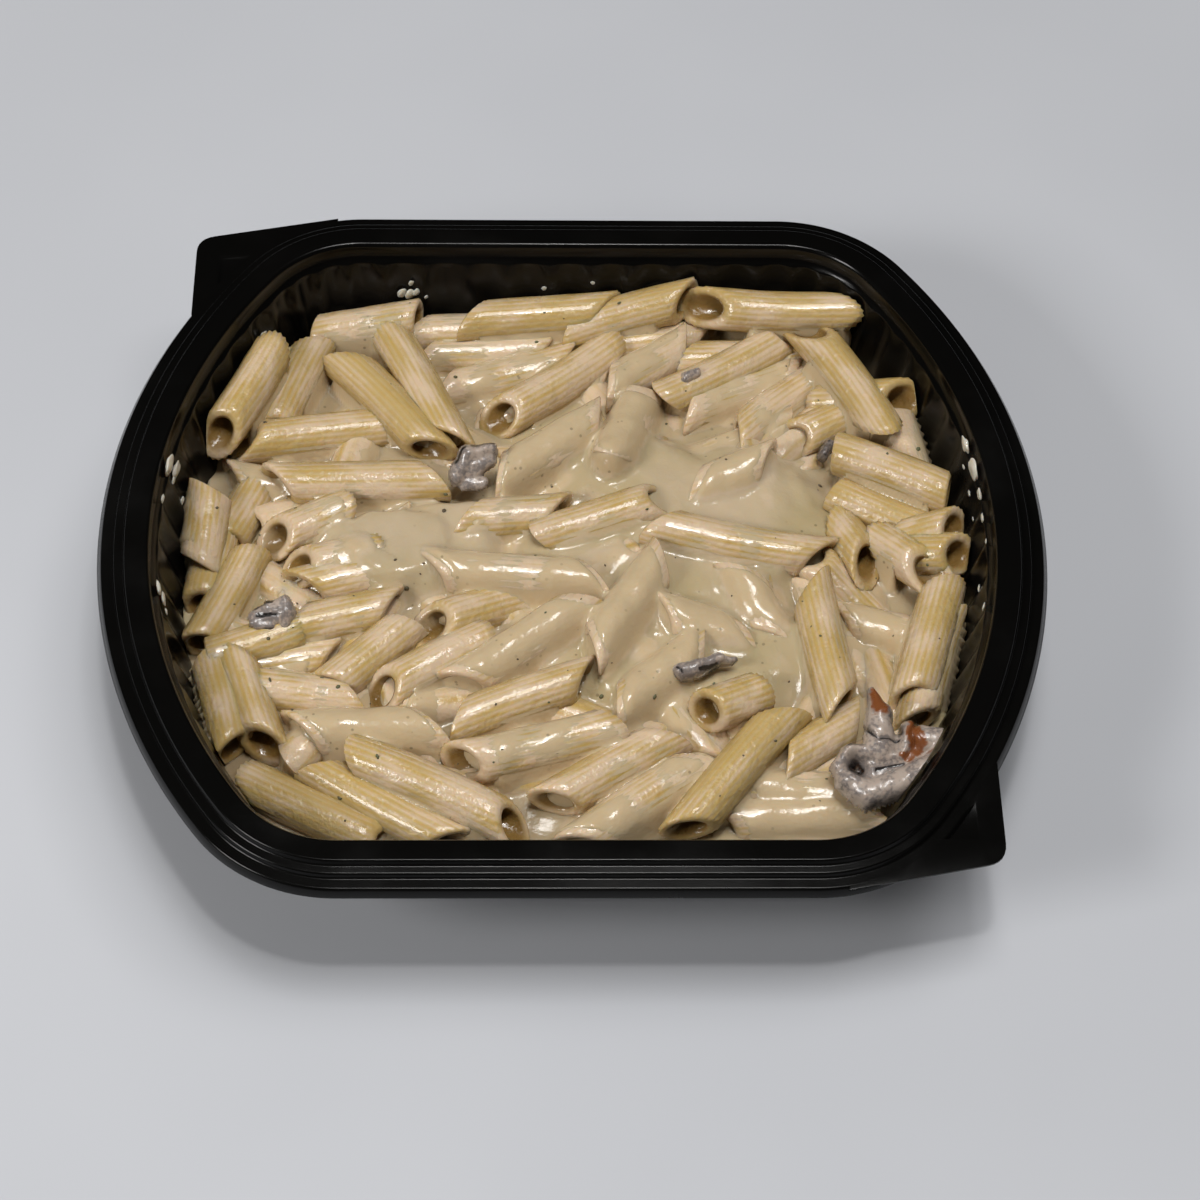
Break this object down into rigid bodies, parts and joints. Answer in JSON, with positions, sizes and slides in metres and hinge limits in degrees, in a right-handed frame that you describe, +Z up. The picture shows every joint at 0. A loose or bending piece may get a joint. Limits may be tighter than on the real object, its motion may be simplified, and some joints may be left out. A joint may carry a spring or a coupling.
{
  "type": "penne in creamy mushroom sauce in a meal tray",
  "caption": "Rounded black meal tray with fluted walls and pull tabs, holding a heap of penne in creamy sauce with pieces of mushroom.",
  "frame": {"origin": "centre of the tray's foot, on the surface that it stands on", "axes": "+X along the tray's long side, +Y towards its back side, +Z up"},
  "size_m": [0.227, 0.202, 0.04],
  "materials": {
    "tray_plastic": "glossy black thermoformed sheet",
    "pasta": "moist cooked pasta, ridged, with a thin film of sauce",
    "sauce": "thick glossy cream sauce",
    "mushroom": "moist cooked mushroom"
  },
  "bodies": {
    "root": {"tray": "tray_plastic", "pasta_heap": "pasta", "cream_sauce": "sauce", "mushroom_browned": "mushroom", "mushroom_slice_back": "mushroom", "mushroom_strip": "mushroom", "mushroom_left": "mushroom"}
  },
  "joints": []
}
